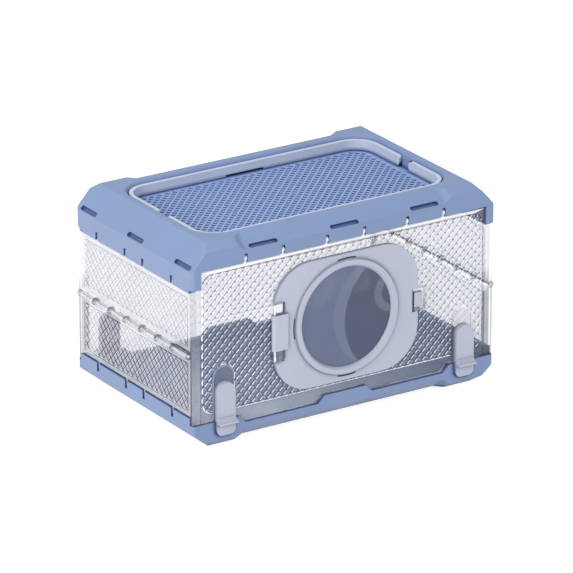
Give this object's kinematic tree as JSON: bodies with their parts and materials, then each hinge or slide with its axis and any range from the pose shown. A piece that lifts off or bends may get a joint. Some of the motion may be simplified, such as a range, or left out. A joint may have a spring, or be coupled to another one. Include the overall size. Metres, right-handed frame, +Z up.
{
  "type": "plastic pet keeper",
  "caption": "Collapsible clear-walled carrier for a small pet or bird, with a folding tray and roof frame, vented roof, twin carry handles, a round-window door and slide latches.",
  "frame": {"origin": "on the ground, under the centre of the standing box", "axes": "+X to the viewer's right along the front, +Y from the door side to the back, +Z up"},
  "size_m": [0.328, 0.212, 0.191],
  "materials": {
    "blue_plastic": "satin moulded",
    "lavender_plastic": "satin moulded",
    "clear_plastic": "clear, quilted outside",
    "smoke_plastic": "tinted, polished",
    "hinge_steel": "plain wire"
  },
  "bodies": {
    "base": {"base_tray": "blue_plastic", "base_pins_left": "hinge_steel", "base_pins_right": "hinge_steel"},
    "left_lower": {"left_lower_panel": "clear_plastic", "left_middle_pin": "hinge_steel"},
    "left_upper": {"left_upper_panel": "clear_plastic"},
    "right_lower": {"right_lower_panel": "clear_plastic", "right_middle_pin": "hinge_steel"},
    "right_upper": {"right_upper_panel": "clear_plastic"},
    "roof": {"top_frame": "blue_plastic", "roof_grille": "blue_plastic", "top_pins_left": "hinge_steel", "top_pins_right": "hinge_steel", "front_hinge_pins": "hinge_steel", "back_hinge_pins": "hinge_steel"},
    "front_wall": {"front_wall": "clear_plastic"},
    "back_wall": {"back_wall": "clear_plastic"},
    "front_latch_left": {"front_latch_left": "lavender_plastic"},
    "front_latch_right": {"front_latch_right": "lavender_plastic"},
    "back_latch_left": {"back_latch_left": "lavender_plastic"},
    "back_latch_right": {"back_latch_right": "lavender_plastic"},
    "door": {"door_plate": "lavender_plastic", "door_pin": "hinge_steel"},
    "port": {"port_ring": "lavender_plastic", "port_window": "smoke_plastic"},
    "front_handle": {"front_handle": "lavender_plastic"},
    "back_handle": {"back_handle": "lavender_plastic"}
  },
  "joints": [
    {"name": "fold", "type": "hinge", "parent": "base", "child": "left_lower", "pos_m": [-0.156, 0, 0.02645], "axis": [0, 1, 0], "range_deg": [0, 90]},
    {"name": "left_middle_fold", "type": "hinge", "parent": "left_lower", "child": "left_upper", "pos_m": [-0.1606, 0, 0.0899], "axis": [0, -1, 0], "range_deg": [0, 180]},
    {"name": "left_top_fold", "type": "hinge", "parent": "left_upper", "child": "roof", "pos_m": [-0.156, 0, 0.15335], "axis": [0, 1, 0], "range_deg": [0, 90]},
    {"name": "right_base_fold", "type": "hinge", "parent": "base", "child": "right_lower", "pos_m": [0.156, 0, 0.02645], "axis": [0, -1, 0], "range_deg": [0, 90]},
    {"name": "right_middle_fold", "type": "hinge", "parent": "right_lower", "child": "right_upper", "pos_m": [0.1606, 0, 0.0899], "axis": [0, 1, 0], "range_deg": [0, 180]},
    {"name": "front_wall_swing", "type": "hinge", "parent": "roof", "child": "front_wall", "pos_m": [0, -0.095, 0.1717], "axis": [-1, 0, 0], "range_deg": [0, 72]},
    {"name": "back_wall_swing", "type": "hinge", "parent": "roof", "child": "back_wall", "pos_m": [0, 0.095, 0.1717], "axis": [1, 0, 0], "range_deg": [0, 72]},
    {"name": "front_latch_left_slide", "type": "slide", "parent": "front_wall", "child": "front_latch_left", "axis": [0, 0, 1], "range_m": [0, 0.013]},
    {"name": "front_latch_right_slide", "type": "slide", "parent": "front_wall", "child": "front_latch_right", "axis": [0, 0, 1], "range_m": [0, 0.013]},
    {"name": "back_latch_left_slide", "type": "slide", "parent": "back_wall", "child": "back_latch_left", "axis": [0, 0, 1], "range_m": [0, 0.013]},
    {"name": "back_latch_right_slide", "type": "slide", "parent": "back_wall", "child": "back_latch_right", "axis": [0, 0, 1], "range_m": [0, 0.013]},
    {"name": "door_swing", "type": "hinge", "parent": "front_wall", "child": "door", "pos_m": [-0.0754, -0.0987, 0.0957], "axis": [0, 0, -1], "range_deg": [0, 110]},
    {"name": "port_twist", "type": "hinge", "parent": "door", "child": "port", "pos_m": [0, -0.098, 0.0957], "axis": [0, -1, 0], "range_deg": [0, 20]},
    {"name": "front_handle_lift", "type": "hinge", "parent": "roof", "child": "front_handle", "pos_m": [0, -0.0117, 0.1841], "axis": [-1, 0, 0], "range_deg": [0, 90]},
    {"name": "back_handle_lift", "type": "hinge", "parent": "roof", "child": "back_handle", "pos_m": [0, 0.0117, 0.1841], "axis": [1, 0, 0], "range_deg": [0, 90]}
  ],
  "couplings": [
    {"joint": "left_middle_fold", "follows": "fold", "ratio": 2},
    {"joint": "left_top_fold", "follows": "fold", "ratio": 1},
    {"joint": "right_base_fold", "follows": "fold", "ratio": 1},
    {"joint": "right_middle_fold", "follows": "fold", "ratio": 2},
    {"joint": "front_wall_swing", "follows": "fold", "ratio": 0.8},
    {"joint": "back_wall_swing", "follows": "fold", "ratio": 0.8}
  ]
}
